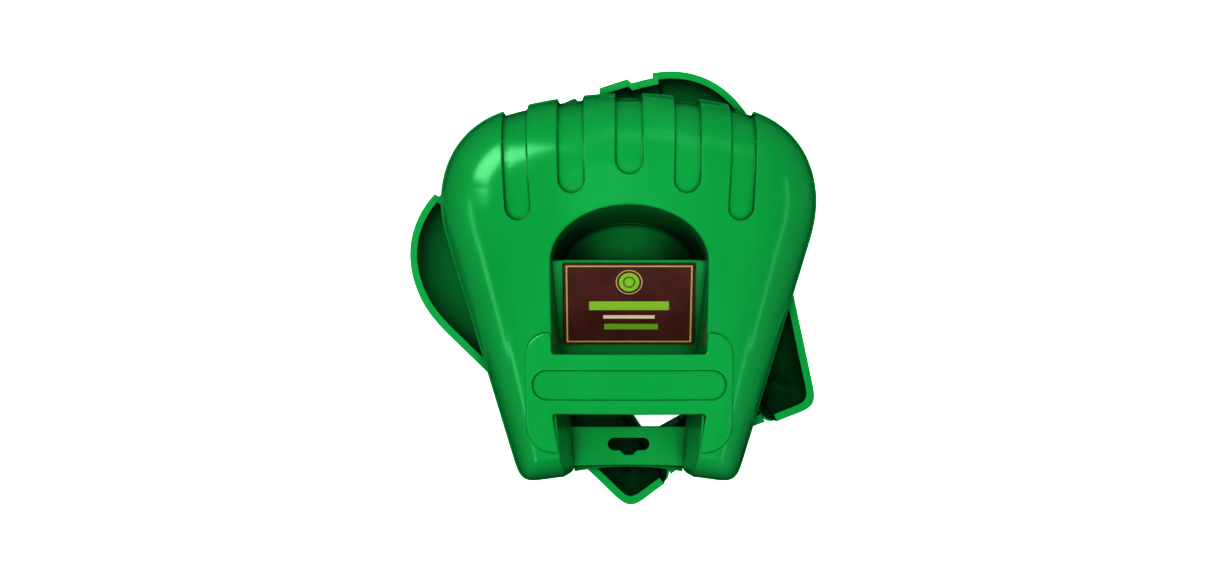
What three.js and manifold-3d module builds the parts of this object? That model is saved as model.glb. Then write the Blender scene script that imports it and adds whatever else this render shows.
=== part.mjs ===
// A pair of hand-worn leaf scoops, face to face, with a printed card on one palm plate.
// Millimetres, +Z up. The rear scoop lies on its back; the front scoop lies on it, rim to rim.
//
// Each scoop is designed in its own frame: the rim plane is z = 0, the back of the hand rises
// towards +z, the finger tips point along +y, and the scoop is symmetric about x = 0.

import * as THREE from 'three';
import { mergeVertices } from 'three/addons/utils/BufferGeometryUtils.js';
import Module from 'manifold-3d';

const wasm = await Module();
wasm.setup();

// ---------------------------------------------------------------- driving dimensions

const wall = 2.5;                // moulded wall thickness
const gap = 0.3;                 // clearance between neighbouring pieces
const far = 400;                 // longer than any piece, for cutting tools

const blade = {
  halfWidth: 178,                // widest, at the knuckles
  heelHalfWidth: 157.8,          // on the straight side, at y = 0
  taper: 0.305,                  // sideways per length along the straight sides
  taperEnd: 45,                  // y where the straight side starts to bend
  tipY: 183,                     // middle finger tip
  tipRadius: 425,                // plan radius of the row of finger tips
  heelY: -185.5,                 // ends of the two legs
  heelArch: 9,                   // between them, the heel's rim is arched in plan by this much
  heelArchHalfWidth: 100,
  tipCrown: 76,                  // how far in the tips and shoulders keep curving
  sideCrownHeel: 28,             // the same on the legs
  heelCrown: 30,                 // and at the ends of the legs
  shoulderPower: 2.8,            // squareness of the shoulders in plan
  heelPower: 5,                  // squareness of the leg corners in plan
  backHeight: 85.5,              // rim plane to the back, beside the brace
  knuckleRise: 4.5,              // extra height over the knuckles
  crossArch: 9,                  // how much lower the back is at archHalfWidth
  archHalfWidth: 110,
};

const rim = { bead: 2.4, height: 3 };

const fluteDepth = 5;
const fluteFan = 0.0006;         // how fast the flutes spread, per mm towards the tips
const flutes = [                 // x and y of each flute's round end, and its half width
  { x: -102, y: 72, halfWidth: 11.3 },
  { x: -52, y: 97, halfWidth: 11.8 },
  { x: 0, y: 114.5, halfWidth: 12.4 },
  { x: 52, y: 97, halfWidth: 11.8 },
  { x: 102, y: 72, halfWidth: 11.3 },
];

const channel = {
  halfWidth: 71.6,               // at topZ, where the arch springs
  topZ: 85,
  draft: Math.tan(THREE.MathUtils.degToRad(9)),
  archBase: 22.5,                // y where the arch of the finger opening springs
  archTop: 74,
  archDraft: 16,                 // plan width of the arch wall from topZ to the floor
  floorZ: 12,                    // upper face of the finger pocket floor
  braceSideY: -60,               // end of the finger opening, where the brace begins
  braceHeelY: -115,              // end of the brace, where the heel opening begins
  narrowing: 12.5,               // how much narrower it is at the ends of the legs
};

const plate = {
  gripY: 25,                     // front face of the grip edge
  heelY: -64,                    // lower end of the palm face, under the brace
  heelZ: 33.5,
  slope: THREE.MathUtils.degToRad(25),
  edgeRadius: 2.6,
};

const brace = {
  raise: 4.5,                    // stands this far above the shell
  halfWidth: 94.3,
  upperY: -41.6,                 // ends of the upper flanks, beside the finger opening
  lowerY: -150,                  // ends of the lower flanks, beside the heel opening
  innerHalfWidth: 69.8,          // from the middle to the inner corners of a flank
  lowerHalfWidth: 63.4,          // the same at the lower ends
  cornerRadius: 22,
  recessHalfWidth: 88,
  recessHalfHeight: 13.5,
  recessDepth: 3,
};

const tab = {
  upperY: -133,
  lowerY: -170.5,
  topZ: 15,
  rimY: -177,
  slotHalfWidth: 19.2,
  slotHalfHeight: 5.5,
  slotY: -149.6,
  notchDepth: 4.4,
  notchHalfWidth: 8,
  notchTipHalfWidth: 3.7,
};

const card = { width: 121, length: 83.5, thickness: 0.6, edge: 3 };

const twist = THREE.MathUtils.degToRad(29);   // turn between the two scoops

// ---------------------------------------------------------------- solids

function solidOf(geometry) {
  geometry.deleteAttribute('normal');
  geometry.deleteAttribute('uv');
  const merged = mergeVertices(geometry, 1e-4);
  return new wasm.Manifold(new wasm.Mesh({
    numProp: 3,
    vertProperties: new Float32Array(merged.attributes.position.array),
    triVerts: new Uint32Array(merged.index.array),
  }));
}

function meshOf(name, solid, material) {
  const result = solid.getMesh();
  const geometry = new THREE.BufferGeometry();
  geometry.setAttribute('position', new THREE.BufferAttribute(result.vertProperties, 3));
  geometry.setIndex(new THREE.BufferAttribute(result.triVerts, 1));
  geometry.computeVertexNormals();
  const mesh = new THREE.Mesh(geometry, material);
  mesh.name = name;
  return mesh;
}

// Joins rings of equal point counts, lowest first, counter-clockwise from above, and caps both ends.
function loft(rings) {
  const count = rings[0].length;
  const flat = rings[0].map(([x, y]) => new THREE.Vector2(x, y));
  const cap = THREE.ShapeUtils.triangulateShape(flat, []);
  const top = (rings.length - 1) * count;
  const index = [];
  for (const [a, b, c] of cap) {
    index.push(a, c, b);
    index.push(top + a, top + b, top + c);
  }
  for (let ring = 0; ring < rings.length - 1; ring++) {
    for (let i = 0; i < count; i++) {
      const a = ring * count + i;
      const b = ring * count + (i + 1) % count;
      index.push(a, b, b + count, a, b + count, a + count);
    }
  }
  const geometry = new THREE.BufferGeometry();
  geometry.setAttribute('position', new THREE.Float32BufferAttribute(rings.flat(2), 3));
  geometry.setIndex(index);
  return solidOf(geometry);
}

// A straight prism over a plan outline, from z = low to z = high.
function prism(outline, low, high) {
  return loft([low, high].map((z) => outline.map(([x, y]) => [x, y, z])));
}

function box(x0, x1, y0, y1, z0, z1) {
  const geometry = new THREE.BoxGeometry(x1 - x0, y1 - y0, z1 - z0);
  geometry.translate((x0 + x1) / 2, (y0 + y1) / 2, (z0 + z1) / 2);
  return solidOf(geometry);
}

// Points of an elliptic arc, from one angle to another, in degrees.
function arc(cx, cy, rx, ry, fromAngle, toAngle, steps) {
  const points = [];
  for (let i = 0; i <= steps; i++) {
    const angle = THREE.MathUtils.degToRad(fromAngle + (toAngle - fromAngle) * i / steps);
    points.push([cx + rx * Math.cos(angle), cy + ry * Math.sin(angle)]);
  }
  return points;
}

// ---------------------------------------------------------------- the blade's skin

function sideLine(y) {
  const straight = blade.heelHalfWidth + blade.taper * Math.min(y, blade.taperEnd);
  const bend = 2 * (blade.halfWidth - blade.heelHalfWidth - blade.taper * blade.taperEnd) / blade.taper;
  const t = THREE.MathUtils.clamp((y - blade.taperEnd) / bend, 0, 1);
  return straight + blade.taper * bend * (t - t * t / 2);
}

// How far a point is up the crown: 1 at the rim, 0 on the flat of the back.
// A skin can stand out from the wall's outer face by `offset`, or in when it is negative.
function crownLevel(x, y, offset) {
  const across = Math.abs(x);
  const along = THREE.MathUtils.clamp((y - blade.heelY) / (90 - blade.heelY), 0, 1);
  const sideCrown = THREE.MathUtils.lerp(blade.sideCrownHeel, blade.tipCrown, along);
  const sideIn = (sideLine(y) - across) * Math.cos(Math.atan(y < blade.taperEnd ? blade.taper : 0));
  const side = Math.max(0, (sideCrown - sideIn) / (sideCrown + offset));
  const tipIn = blade.tipY - across * across / (2 * blade.tipRadius) - y;
  const tip = Math.max(0, (blade.tipCrown - tipIn) / (blade.tipCrown + offset));
  const heelIn = y - blade.heelY - blade.heelArch * (1 - (across / blade.heelArchHalfWidth) ** 2);
  const heel = Math.max(0, (blade.heelCrown - heelIn) / (blade.heelCrown + offset));
  const power = y > 0 ? blade.shoulderPower : blade.heelPower;
  return Math.pow(side ** power + Math.max(tip, heel) ** power, 1 / power);
}

function skinHeight(x, y, offset) {
  const level = Math.min(1, crownLevel(x, y, offset));
  const rise = blade.knuckleRise * THREE.MathUtils.smoothstep(y, -60, 70);
  const arch = blade.crossArch * Math.min(1, (x / blade.archHalfWidth) ** 2);
  return (blade.backHeight + rise - arch + offset) * Math.sqrt(1 - level * level);
}

// The distance from the middle of the scoop to a skin's plan outline, along a ray.
function rimRadius(angle, offset) {
  let inside = 100;
  let outside = 260;
  while (outside - inside > 0.01) {
    const radius = (inside + outside) / 2;
    if (crownLevel(radius * Math.cos(angle), radius * Math.sin(angle), offset) < 1) {
      inside = radius;
    } else {
      outside = radius;
    }
  }
  return inside;
}

// The rays' angles in degrees for the right half, finer round the shoulders and the leg corners.
function rayAngles() {
  const spans = [[-90, -64, 3], [-64, -54, 5], [-54, 15, 6], [15, 66, 7], [66, 90, 3]];
  return spans.flatMap(([from, to, steps]) =>
    Array.from({ length: steps }, (_, i) => from + (to - from) * i / steps));
}

// The plan outline of a skin, counter-clockwise from the heel.
function rimOutline(offset) {
  const right = rayAngles().map((degrees) => {
    const angle = THREE.MathUtils.degToRad(degrees);
    const radius = rimRadius(angle, offset);
    return [radius * Math.cos(angle), radius * Math.sin(angle)];
  });
  const tip = [0, rimRadius(Math.PI / 2, offset)];
  const left = right.slice(1).reverse().map(([x, y]) => [-x, y]);
  return [...right, tip, ...left];
}

// The solid under a skin, closed at z = floor.
function skinMass(offset, floor = 0) {
  const outline = rimOutline(offset);
  const scales = [0.985, 0.95, 0.89, 0.8, 0.66, 0.4, 0.02];
  const rings = [outline.map(([x, y]) => [x, y, floor])];
  for (const scale of scales) {
    rings.push(outline.map(([x, y]) => [x * scale, y * scale, skinHeight(x * scale, y * scale, offset)]));
  }
  return loft(rings);
}

function flutePrisms(widen) {
  return flutes.map(({ x, y, halfWidth }) => {
    const radius = halfWidth + widen;
    const outerY = blade.tipY + 20;
    const outerX = x * (1 + fluteFan * (outerY - y));
    const outline = [
      [outerX + radius, outerY],
      [outerX - radius, outerY],
      ...arc(x, y, radius, radius, 180, 360, 6),
    ];
    return prism(outline, -10, 120);
  });
}

function subtractAll(solid, tools) {
  return tools.reduce((left, tool) => left.subtract(tool), solid);
}

// A skin whose flutes are sunk by the flute depth.
function flutedMass(offset, widen, floor) {
  const proud = subtractAll(skinMass(offset, floor), flutePrisms(widen));
  return proud.add(skinMass(offset - fluteDepth, floor));
}

// ---------------------------------------------------------------- the channel for the hand

// Half width of the hand channel at height z.
function channelHalfWidth(y, z) {
  const along = Math.min(y - channel.archBase, 0) / (blade.heelY - channel.archBase);
  return channel.halfWidth - channel.narrowing * along ** 2 - (channel.topZ - z) * channel.draft;
}

// The channel's plan outline at height z, grown by `grow`: an arch, then sides down to y = end.
function channelOutline(z, grow, end) {
  const depth = channel.topZ - z;
  const archHeight = channel.archTop - channel.archBase
    - depth * channel.archDraft / (channel.topZ - channel.floorZ);
  const base = channelHalfWidth(channel.archBase, z) + grow;
  const points = arc(0, channel.archBase, base, archHeight + grow, 0, 180, 14);
  const bends = [-20, channel.braceSideY, -90, channel.braceHeelY, -145].filter((y) => y > end);
  const left = [...bends, end].map((y) => [-channelHalfWidth(y, z) - grow, y]);
  const right = left.map(([x, y]) => [-x, y]).reverse();
  return [...points, ...left, ...right];
}

function channelMass(grow, low, high, end = blade.heelY - 20) {
  return loft([low, high].map((z) => channelOutline(z, grow, end).map(([x, y]) => [x, y, z])));
}

// ---------------------------------------------------------------- pieces of one scoop

function scoopShell() {
  const bead = subtractAll(prism(rimOutline(rim.bead), 0, rim.height), flutePrisms(0));
  const sunkBead = prism(rimOutline(rim.bead - fluteDepth), 0, rim.height);
  const outside = flutedMass(0, 0, 0).add(bead).add(sunkBead);
  const inside = flutedMass(-wall, wall, -10);
  return outside.subtract(inside).subtract(channelMass(wall + gap, -20, 120));
}

function fingerPocket() {
  const outside = channelMass(wall, channel.floorZ - wall, 110, channel.braceSideY);
  const inside = channelMass(0, channel.floorZ, 120);
  const openBelow = channelMass(0, channel.floorZ - 2 * wall, 120)
    .intersect(box(-far, far, -far, plate.gripY - 6, -far, far));
  return outside.intersect(skinMass(0)).subtract(inside).subtract(openBelow);
}

// Height of the sloped palm face.
function palmHeight(y) {
  return plate.heelZ + (y - plate.heelY) * Math.tan(plate.slope);
}

// The side section of the palm plate: a folded sheet, swept across the channel.
function gripPlate() {
  const { gripY, heelY, heelZ, slope, edgeRadius: r } = plate;
  const below = wall / Math.cos(slope);
  const foldY = gripY - wall;
  const edgeZ = palmHeight(gripY - r) - r / Math.cos(slope);
  const section = [
    [gripY, channel.floorZ + gap],
    ...arc(gripY - r, edgeZ, r, r, 0, 90 + THREE.MathUtils.radToDeg(slope), 5),
    [heelY, heelZ],
    [heelY, heelZ - below],
    [foldY, palmHeight(foldY) - below],
    [foldY, channel.floorZ + gap],
  ];
  const shape = new THREE.Shape(section.map(([y, z]) => new THREE.Vector2(y, z)));
  const sheet = new THREE.ExtrudeGeometry(shape, { depth: 160, bevelEnabled: false });
  sheet.translate(0, 0, -80);
  sheet.applyMatrix4(new THREE.Matrix4().makeBasis(
    new THREE.Vector3(0, 1, 0), new THREE.Vector3(0, 0, 1), new THREE.Vector3(1, 0, 0)));
  return solidOf(sheet).intersect(channelMass(-gap, channel.floorZ - wall, 110));
}

// The right half of the brace's plan outline, from the heel upwards.
function braceOutline() {
  const { halfWidth, upperY, lowerY, innerHalfWidth, lowerHalfWidth, cornerRadius: r } = brace;
  return [
    [lowerHalfWidth, lowerY],
    ...arc(halfWidth - r, lowerY + r, r, r, -90, 0, 5),
    ...arc(halfWidth - r, upperY - r, r, r, 0, 90, 5),
    [innerHalfWidth, upperY],
    [innerHalfWidth, channel.braceSideY],
  ];
}

function armBrace() {
  const right = braceOutline();
  const left = right.map(([x, y]) => [-x, y]).reverse();
  const heelEdge = [
    [-brace.innerHalfWidth, channel.braceHeelY],
    [brace.innerHalfWidth, channel.braceHeelY],
  ];
  const outline = [...right, ...left, ...heelEdge];
  const skin = skinMass(brace.raise).subtract(skinMass(gap));
  const { recessHalfWidth: rx, recessHalfHeight: ry } = brace;
  const middleY = (channel.braceSideY + channel.braceHeelY) / 2;
  const oval = [
    ...arc(rx - ry, middleY, ry, ry, -90, 90, 6),
    ...arc(ry - rx, middleY, ry, ry, 90, 270, 6),
  ];
  const recess = prism(oval, 40, 120).subtract(skinMass(brace.raise - brace.recessDepth));
  return skin.intersect(prism(outline, 30, 120)).subtract(recess);
}

function slotOutline() {
  const { slotHalfWidth: w, slotHalfHeight: h, slotY: y } = tab;
  return [
    ...arc(w - h, y, h, h, -90, 90, 6),
    ...arc(h - w, y, h, h, 90, 270, 6),
    [-tab.notchHalfWidth, y - h],
    [-tab.notchTipHalfWidth, y - h - tab.notchDepth],
    [tab.notchTipHalfWidth, y - h - tab.notchDepth],
    [tab.notchHalfWidth, y - h],
  ];
}

function hangerTab() {
  const heelSide = box(-far, far, -far, channel.braceSideY - gap, -far, far);
  const walls = channelMass(wall, 0, 110).subtract(channelMass(0, -1, 111));
  const floor = box(-far, far, tab.lowerY, tab.upperY, tab.topZ - wall, tab.topZ);
  const step = box(-far, far, tab.lowerY - wall, tab.lowerY, 0, tab.topZ);
  const land = box(-far, far, tab.rimY, tab.lowerY - wall, 0, wall);
  const bottom = floor.add(step).add(land).intersect(channelMass(wall, -1, 110));
  return walls.add(bottom)
    .intersect(heelSide)
    .intersect(skinMass(0))
    .subtract(prism(slotOutline(), 0, 40));
}

// ---------------------------------------------------------------- assembly

function plastic(color) {
  return new THREE.MeshStandardMaterial({ color, roughness: 0.28, metalness: 0 });
}

const pieces = [
  ['scoop_shell', scoopShell(), 0x109b3c],
  ['finger_pocket', fingerPocket(), 0x0e8334],
  ['grip_plate', gripPlate(), 0x12a040],
  ['arm_brace', armBrace(), 0x12a542],
  ['hanger_tab', hangerTab(), 0x109b3c],
];

function scoop(side) {
  const group = new THREE.Group();
  for (const [name, solid, color] of pieces) {
    group.add(meshOf(`${side}_${name}`, solid, plastic(color)));
  }
  return group;
}

// The card lies on the front scoop's palm plate, just below the grip edge.
function labelCard() {
  const geometry = new THREE.BoxGeometry(card.width, card.length, card.thickness);
  const paper = new THREE.MeshStandardMaterial({ color: 0x3c1a14, roughness: 0.35, metalness: 0 });
  const mesh = meshOf('label_card', solidOf(geometry), paper);
  const middleY = plate.gripY - card.edge - card.length / 2 * Math.cos(plate.slope);
  const lift = card.thickness / 2 + gap;
  mesh.position.set(
    0,
    middleY - lift * Math.sin(plate.slope),
    palmHeight(middleY) + lift * Math.cos(plate.slope),
  );
  mesh.rotation.x = plate.slope;
  return mesh;
}

const front = scoop('front');
front.add(labelCard());
front.position.z = gap;

const rear = scoop('rear');
rear.rotation.set(0, Math.PI, twist, 'ZYX');

const pair = new THREE.Group();
pair.add(rear, front);
pair.updateMatrixWorld(true);
const bounds = new THREE.Box3().setFromObject(pair, true);
const middle = bounds.getCenter(new THREE.Vector3());
pair.position.set(-middle.x, -middle.y, -bounds.min.z);

export default pair;
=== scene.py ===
"""A pair of moulded leaf scoops, rim to rim, with a printed card on one palm plate.

Each scoop is worked out in its own frame, in millimetres: the rim plane is z = 0, the back of the
hand rises towards +z, and the finger tips point along +y. The pieces are then placed in the row's
frame, in metres, from the CAD nodes that they replace.
"""

import math

import bmesh
import bpy
import numpy as np
from mathutils import Matrix, Vector
from mathutils.geometry import delaunay_2d_cdt


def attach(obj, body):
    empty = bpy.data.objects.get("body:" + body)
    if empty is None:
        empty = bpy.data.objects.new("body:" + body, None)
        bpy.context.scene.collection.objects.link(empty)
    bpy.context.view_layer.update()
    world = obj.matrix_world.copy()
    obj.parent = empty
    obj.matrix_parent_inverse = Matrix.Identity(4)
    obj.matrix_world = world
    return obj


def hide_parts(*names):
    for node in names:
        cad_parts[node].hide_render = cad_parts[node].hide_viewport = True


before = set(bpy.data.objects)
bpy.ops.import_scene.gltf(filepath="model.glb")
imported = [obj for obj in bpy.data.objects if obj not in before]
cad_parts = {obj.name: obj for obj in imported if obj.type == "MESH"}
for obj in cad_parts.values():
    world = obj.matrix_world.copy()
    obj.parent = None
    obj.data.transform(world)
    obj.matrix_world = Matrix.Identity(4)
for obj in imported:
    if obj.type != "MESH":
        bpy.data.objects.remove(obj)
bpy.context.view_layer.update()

# ------------------------------------------------------------------ driving dimensions, mm

METRES = 0.001                   # per millimetre
GAP = 0.3                        # between the two rims, and between the card and the palm plate

WALL = 2.5                       # moulded wall thickness
HALF_WIDTH = 178.0               # of the blade, at the knuckles
HEEL_HALF_WIDTH = 157.8          # on the straight side, at y = 0
TAPER = 0.305                    # sideways per length along the straight sides
TAPER_END = 45.0
TIP_Y, TIP_RADIUS = 183.0, 425.0
HEEL_Y = -185.5                  # ends of the legs; between them the heel is arched in plan
HEEL_ARCH, HEEL_ARCH_HALF_WIDTH = 9.0, 100.0
TIP_CROWN, LEG_CROWN, HEEL_CROWN = 76.0, 28.0, 30.0
TIP_CROWN_Y = 90.0               # the side crown grows from the legs up to this y
SHOULDER_POWER, HEEL_POWER = 2.8, 5.0
BACK_HEIGHT, KNUCKLE_RISE = 85.5, 4.5
KNUCKLE_SLOPE = (-60.0, 70.0)    # the back climbs by the knuckle rise between these y
CROSS_ARCH, ARCH_HALF_WIDTH = 9.0, 110.0
BEAD, INNER_BEAD = 2.4, 2.6      # how far the rim stands out of the wall, outside and inside

FLUTE_DEPTH = 5.0
FLUTE_FAN = 0.0006               # how fast the flutes spread towards the tips, per mm
FLUTE_FAN_Y = 78.0
FLUTES = [(-102.0, 72.0, 11.3), (-52.0, 97.0, 11.8), (0.0, 114.5, 12.4),
          (52.0, 97.0, 11.8), (102.0, 72.0, 11.3)]      # x, y of the round end, half width
FLUTE_WALL = (-1.2, 1.4)         # a flute's wall lies between these offsets from its outline

CHANNEL_HALF_WIDTH, CHANNEL_HEEL_HALF_WIDTH = 71.6, 59.1
CHANNEL_DRAFT = math.tan(math.radians(9))
CHANNEL_TOP = 81.5               # height of the channel's edge beside the palm
ARCH_BASE, ARCH_TOP = 22.5, 74.0
ARCH_DRAFT = 16.0                # plan width of the arch wall
CHANNEL_EDGE = 2.6               # rounding of the channel's upper edge
FLOOR_Z, FLOOR_FILLET = 12.0, 6.5
CHANNEL_FOOT = 9.5               # height of the wall's lower end
INTO_WALL = 1.2                  # how far a piece between the walls reaches into them

PALM_SLOPE = math.radians(25)
PALM_GRIP_Y, PALM_HEEL_Y, PALM_HEEL_Z = 25.0, -64.0, 33.5
GRIP_RADIUS = 2.6
PALM_NOSE = 1.2                  # radius of the plate's end at the heel

BRACE_RAISE, BRACE_EDGE = 4.5, 2.4
RECESS_HALF_WIDTH, RECESS_HALF_HEIGHT, RECESS_DEPTH, RECESS_Y = 88.2, 13.4, 3.0, -89.0
RECESS_WALL = (-0.6, 0.8)

BRACE_CORNERS = [                # right half, from the heel upwards: x, y, radius
    (69.6, -115.5, 2.5), (63.4, -151.0, 2.8), (94.3, -147.0, 24.0),
    (94.3, -41.6, 19.8), (71.0, -41.6, 2.8), (70.3, -60.8, 3.0),
]

TAB_TOP, TAB_UPPER_Y, TAB_LOWER_Y = 15.0, -133.0, -170.5
TAB_EDGE = 0.9                   # rounding of the tab's edges
TAB_BOW = 1.0                    # the tab's lower edge curves towards the slot
LAND_BOW = 0.6                   # and so does the rim below it, for this share of its width
TAB_STEP = [                     # out from the tab's lower edge, height, normal out and up
    (-TAB_EDGE, TAB_TOP, 0, 1), (-0.27, 14.73, 0.7, 0.7), (0, 14.1, 1, 0), (0, 3.4, 1, 0),
    (0.25, 2.8, 0.7, 0.7), (0.9, 2.5, 0, 1), (6.0, 2.5, 0, 1), (6.45, 2.3, 0.7, 0.7),
    (6.6, 1.9, 1, 0), (6.6, 0.4, 1, 0), (6.2, 0, 0, -1), (-2.1, 0, 0, -1), (-WALL, 0.4, -1, 0),
    (-WALL, 11.8, -1, 0), (-3.2, TAB_TOP - WALL, 0, -1),
]
SLOT_CORNERS = [                 # right half of the hanger slot: x, y, radius
    (3.7, -159.5, 0.8), (8.0, -155.1, 1.8), (19.2, -155.1, 5.3), (19.2, -144.1, 5.3),
]

CARD_WIDTH, CARD_LENGTH, CARD_THICKNESS, CARD_BELOW_GRIP = 121.0, 83.5, 0.6, 3.0

# ------------------------------------------------------------------ colour and light

PLASTIC_DEEP, PLASTIC_LIGHT = (0.02, 0.5, 0.16), (0.045, 0.57, 0.215)
PAINTED_HOLLOW_SHADE = (0.002, 0.05, 0.008)         # painted shade: the near-black green the plastic is mixed to where a corner closes off the sky
CORNER_SKY = (0.036, 0.3, 0.74, 0.0)          # painted shade in corners: reach in metres, from and to which sky, darkest
# painted shade in deep hollows, in the same order
HOLLOW_SKY = (0.12, 0.2, 0.7, 0.5)
BROWN, BROWN_LIGHT = (0.16, 0.05, 0.04), (0.22, 0.08, 0.065)
GOLD, CREAM = (0.62, 0.55, 0.25), (0.8, 0.74, 0.6)
LIME, LEAF, LEAF_DARK = (0.42, 0.66, 0.1), (0.3, 0.55, 0.06), (0.2, 0.36, 0.05)

AMBIENT = 0.33
FLOOR_GLOW = 0.9
CONTRAST = 0.52                  # gamma of the view
LIGHTS = [                       # name, place and aim in metres, size, power in watts, what it lights
    ("overhead", (-0.2, 0.25, 3.0), (0, 0, 0.1), (0.8, 0.8), 70, "diffuse"),
    ("softbox", (-1.85, 1.45, 1.35), (0, 0, 0.1), (2.3, 1.4), 78, "glossy"),
    ("broad_top", (0.6, 2.6, 1.4), (0, 0, 0.1), (2.0, 1.0), 6, "glossy"),
    ("right_strip", (2.1, -0.4, 0.55), (0, 0, 0.1), (2.0, 0.07), 4, "glossy"),
    ("left_strip", (-2.1, -0.6, 0.5), (0, 0, 0.1), (1.8, 0.08), 6, "glossy"),
    ("card_sheen", (0.04, -1.53, 1.77), (0.015, -0.015, 0.147), (1.2, 0.6), 3, "glossy"),
]

# ------------------------------------------------------------------ the blade's skin

def smoothstep(value, low, high):
    t = np.clip((value - low) / (high - low), 0, 1)
    return t * t * (3 - 2 * t)


def side_line(y):
    """Half width of the blade at y, before the shoulders and the leg corners are rounded."""
    bend = 2 * (HALF_WIDTH - HEEL_HALF_WIDTH - TAPER * TAPER_END) / TAPER
    t = np.clip((y - TAPER_END) / bend, 0, 1)
    return HEEL_HALF_WIDTH + TAPER * np.minimum(y, TAPER_END) + TAPER * bend * (t - t * t / 2)


def fan(x, y):
    """Where a line that starts at x, beside the outer flutes' round ends, has spread to at y."""
    return x * (1 + FLUTE_FAN * (y - FLUTE_FAN_Y))


def fluted(widen):
    """The flutes' depth at a point, on a face where they are wider by the given amount."""
    def depth(x, y):
        deepest = np.zeros_like(x)
        for flute_x, flute_y, half_width in FLUTES:
            across = x - fan(flute_x, y)
            beyond = np.minimum(y - flute_y, 0)
            inside = half_width + widen - np.hypot(across, beyond)
            deepest = np.maximum(deepest, FLUTE_DEPTH * smoothstep(inside, *FLUTE_WALL))
        return deepest
    return depth


def recess_depth(x, y):
    """The brace's oval recess."""
    beyond = np.maximum(np.abs(x) - RECESS_HALF_WIDTH + RECESS_HALF_HEIGHT, 0)
    inside = RECESS_HALF_HEIGHT - np.hypot(beyond, y - RECESS_Y)
    return RECESS_DEPTH * smoothstep(inside, *RECESS_WALL)


class Skin:
    """A surface parallel to the blade's outer face, which is offset 0. Inner skins are negative.

    `sunk` gives how far a point is sunk below that, for the flutes or for the brace's recess.
    """

    def __init__(self, offset, sunk=None):
        self.offset, self.sunk = offset, sunk

    def stand(self, x, y):
        return self.offset - (self.sunk(x, y) if self.sunk else 0 * x)

    def level(self, x, y):
        """1 at the rim, 0 on the flat of the back."""
        stand = self.stand(x, y)
        along = np.clip((y - HEEL_Y) / (TIP_CROWN_Y - HEEL_Y), 0, 1)
        side_crown = LEG_CROWN + (TIP_CROWN - LEG_CROWN) * along
        lean = np.cos(np.arctan(TAPER * (1 - smoothstep(y, TAPER_END - 20, TAPER_END + 40))))
        side_in = (side_line(y) - np.abs(x)) * lean
        side = np.maximum(0, (side_crown - side_in) / (side_crown + stand))
        tip_in = TIP_Y - x * x / (2 * TIP_RADIUS) - y
        tip = np.maximum(0, (TIP_CROWN - tip_in) / (TIP_CROWN + stand))
        heel_in = y - HEEL_Y - HEEL_ARCH * (1 - (x / HEEL_ARCH_HALF_WIDTH) ** 2)
        heel = np.maximum(0, (HEEL_CROWN - heel_in) / (HEEL_CROWN + stand))
        power = np.where(y > 0, SHOULDER_POWER, HEEL_POWER)
        return (side ** power + np.maximum(tip, heel) ** power) ** (1 / power)

    def crest(self, x, y):
        """Height that the skin would have with no crown."""
        rise = KNUCKLE_RISE * smoothstep(y, *KNUCKLE_SLOPE)
        arch = CROSS_ARCH * np.minimum(1, (x / ARCH_HALF_WIDTH) ** 2)
        return BACK_HEIGHT + rise - arch + self.stand(x, y)

    def height(self, x, y):
        level = np.minimum(1, self.level(x, y))
        return self.crest(x, y) * np.sqrt(1 - level * level)

    def normal(self, x, y):
        step = 0.02
        level = np.minimum(1, self.level(x, y))
        crest = self.crest(x, y)
        share = np.sqrt(1 - level * level)
        parts = []
        for dx, dy in ((step, 0), (0, step)):
            level_slope = (self.level(x + dx, y + dy) - self.level(x - dx, y - dy)) / (2 * step)
            crest_slope = (self.crest(x + dx, y + dy) - self.crest(x - dx, y - dy)) / (2 * step)
            parts.append(level * level_slope - share * share * crest_slope / crest)
        return unit(np.stack([*parts, share / crest], axis=-1))


def unit(vectors):
    length = np.linalg.norm(vectors, axis=-1, keepdims=True)
    return vectors / np.maximum(length, 1e-12)


def is_inside(points, outline, margin):
    """True for the points that lie inside a closed outline, by more than the margin."""
    inside = np.zeros(len(points), bool)
    nearest = np.full(len(points), np.inf)
    for start, end in zip(outline, np.roll(outline, -1, axis=0)):
        step = end - start
        spans = (start[1] > points[:, 1]) != (end[1] > points[:, 1])
        rise = step[1] if step[1] else 1.0
        inside ^= spans & (points[:, 0] < start[0] + (points[:, 1] - start[1]) / rise * step[0])
        share = np.clip(((points - start) @ step) / (step @ step), 0, 1)
        nearest = np.minimum(nearest, np.linalg.norm(points - start - share[:, None] * step, axis=1))
    return inside & (nearest > margin)


def lift(plan, z):
    """Plan points with a height."""
    return np.column_stack([plan, np.broadcast_to(z, len(plan))])


# ------------------------------------------------------------------ building a closed mesh

INSIDE_ONLY = 1                  # delaunay_2d_cdt then keeps only the triangles inside the edges


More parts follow.
